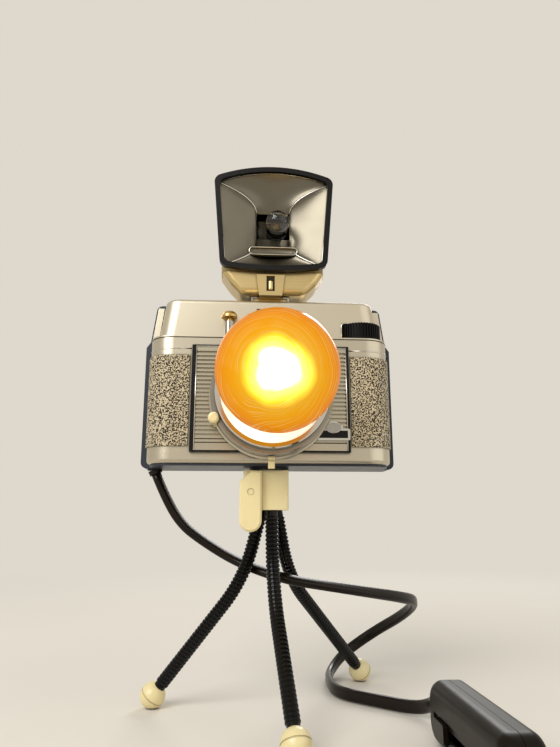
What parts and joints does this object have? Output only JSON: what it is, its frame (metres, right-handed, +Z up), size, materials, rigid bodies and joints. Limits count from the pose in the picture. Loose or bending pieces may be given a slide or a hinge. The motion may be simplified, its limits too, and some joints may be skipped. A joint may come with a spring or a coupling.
{
  "type": "camera lamp",
  "caption": "Table lamp made from a viewfinder camera on ribbed gooseneck legs, with an amber globe bulb in the lens, a flash head, and a flat lead with dimmer and plug.",
  "frame": {"origin": "on the floor, under the centre of the box round everything but the lead and what is on it", "axes": "+Z up, -Y towards the front of the camera, +X towards the right of the camera as seen from the front"},
  "size_m": [0.149, 0.3447, 0.2708],
  "materials": {
    "alloy": "satin",
    "amber_glass": "frosted",
    "black_gooseneck": "glossy",
    "black_plastic": "glossy",
    "brass": "satin",
    "bright_metal": "polished",
    "brown_lead": "satin",
    "clear_glass": "clear",
    "cream_holder": "satin",
    "cream_plastic": "satin",
    "flash_housing_metal": "satin",
    "glow_glass": "glowing",
    "leathercloth": "grained",
    "rear_paint": "satin",
    "steel": "satin",
    "white_reflector": "satin",
    "window_glass": "clear"
  },
  "bodies": {
    "camera": {"accessory_shoe": "alloy", "badge_plate": "alloy", "base_plate": "alloy", "cord_gland": "black_plastic", "dimmer_base": "black_plastic", "dimmer_cover": "black_plastic", "dimmer_relief": "black_plastic", "finder_window": "window_glass", "front_casing": "alloy", "front_plate": "alloy", "head_block": "cream_plastic", "head_pad": "black_plastic", "hinge_pin": "steel", "holder_contacts": "brass", "inner_cone": "white_reflector", "inner_lead": "brown_lead", "lampholder": "cream_holder", "lead_coil": "brown_lead", "lead_end": "brown_lead", "lead_lower": "brown_lead", "lead_upper": "brown_lead", "leather_grips": "leathercloth", "lens_barrel": "bright_metal", "lens_flange": "alloy", "lever_pin": "steel", "lip_ring": "bright_metal", "plug_body": "black_plastic", "plug_pins": "steel", "rear_shell": "rear_paint", "release_collar": "alloy", "top_cover": "alloy", "tripod_bush": "steel", "tripod_screw": "steel", "wheel_axle": "steel"},
    "left_leg_body": {"left_leg": "black_gooseneck", "left_foot": "cream_plastic"},
    "front_leg_body": {"front_leg": "black_gooseneck", "front_foot": "cream_plastic"},
    "right_leg_body": {"right_leg": "black_gooseneck", "right_foot": "cream_plastic"},
    "lever": {"clamp_lever": "cream_plastic"},
    "flash": {"flash_rim": "black_plastic", "flash_reflector": "bright_metal", "flash_housing": "flash_housing_metal", "flash_stand": "alloy", "flash_socket": "black_plastic"},
    "spare_bulb": {"flash_bulb": "clear_glass", "flash_bulb_base": "brass"},
    "wheel": {"advance_wheel": "black_plastic"},
    "button": {"release_button": "alloy"},
    "upper_ring_lever": {"shutter_lever": "cream_plastic"},
    "lower_ring_lever": {"aperture_lever": "cream_plastic"},
    "bulb_thread": {"bulb_contact": "brass"},
    "bulb": {"bulb_cap": "brass", "globe": "amber_glass", "lit_core": "glow_glass"},
    "door": {"back_door": "rear_paint", "finder_eyepiece": "rear_paint"},
    "latch": {"door_latch": "steel"},
    "slider": {"dimmer_slider": "black_plastic"}
  },
  "joints": [
    {"name": "left_leg_swing", "type": "hinge", "parent": "camera", "child": "left_leg_body", "pos_m": [-0.00344, 0.01317, 0.0918], "axis": [0.3547, 0.935, 0], "range_deg": [-3, 12]},
    {"name": "front_leg_swing", "type": "hinge", "parent": "camera", "child": "front_leg_body", "pos_m": [0.00112, 0.00743, 0.0918], "axis": [-0.9889, -0.1485, 0], "range_deg": [-3, 12]},
    {"name": "right_leg_swing", "type": "hinge", "parent": "camera", "child": "right_leg_body", "pos_m": [0.0039, 0.01447, 0.0918], "axis": [0.787, -0.6169, 0], "range_deg": [-3, 8]},
    {"name": "clamp_lever_turn", "type": "hinge", "parent": "camera", "child": "lever", "pos_m": [-0.0091, 0.0012, 0.1], "axis": [0, 1, 0], "range_deg": [0, 45]},
    {"name": "flash_slide", "type": "slide", "parent": "camera", "child": "flash", "axis": [0, 1, 0], "range_m": [0, 0.02]},
    {"name": "flash_bulb_pull", "type": "slide", "parent": "flash", "child": "spare_bulb", "axis": [0, -1, 0], "range_m": [0, 0.015]},
    {"name": "advance_wheel_turn", "type": "hinge", "parent": "camera", "child": "wheel", "pos_m": [0.0466, 0.0098, 0.18], "axis": [0, 0, 1], "continuous": true},
    {"name": "release_press", "type": "slide", "parent": "camera", "child": "button", "axis": [0, 0, -1], "range_m": [0, 0.0018], "stiffness_N_per_m": 300, "springref_m": -0.002},
    {"name": "shutter_lever_turn", "type": "hinge", "parent": "camera", "child": "upper_ring_lever", "pos_m": [0, -0.0115, 0.1438], "axis": [0, 1, 0], "range_deg": [-25, 25]},
    {"name": "aperture_lever_turn", "type": "hinge", "parent": "camera", "child": "lower_ring_lever", "pos_m": [0, -0.0115, 0.1438], "axis": [0, 1, 0], "range_deg": [-25, 25]},
    {"name": "bulb_draw", "type": "slide", "parent": "camera", "child": "bulb_thread", "axis": [0, -1, 0], "range_m": [0, 0.0141]},
    {"name": "bulb_turn", "type": "hinge", "parent": "bulb_thread", "child": "bulb", "pos_m": [0, -0.03, 0.1438], "axis": [0, -1, 0], "range_deg": [0, 1800]},
    {"name": "back_door_swing", "type": "hinge", "parent": "camera", "child": "door", "pos_m": [0.0616, 0.031, 0.14], "axis": [0, 0, -1], "range_deg": [0, 100]},
    {"name": "door_latch_slide", "type": "slide", "parent": "door", "child": "latch", "axis": [0, 0, 1], "range_m": [0, 0.004]},
    {"name": "dimmer_slider_slide", "type": "slide", "parent": "camera", "child": "slider", "axis": [0, -1, 0], "range_m": [0, 0.021]}
  ],
  "couplings": [
    {"joint": "bulb_draw", "follows": "bulb_turn", "m_per_rad": 0.00044882}
  ]
}
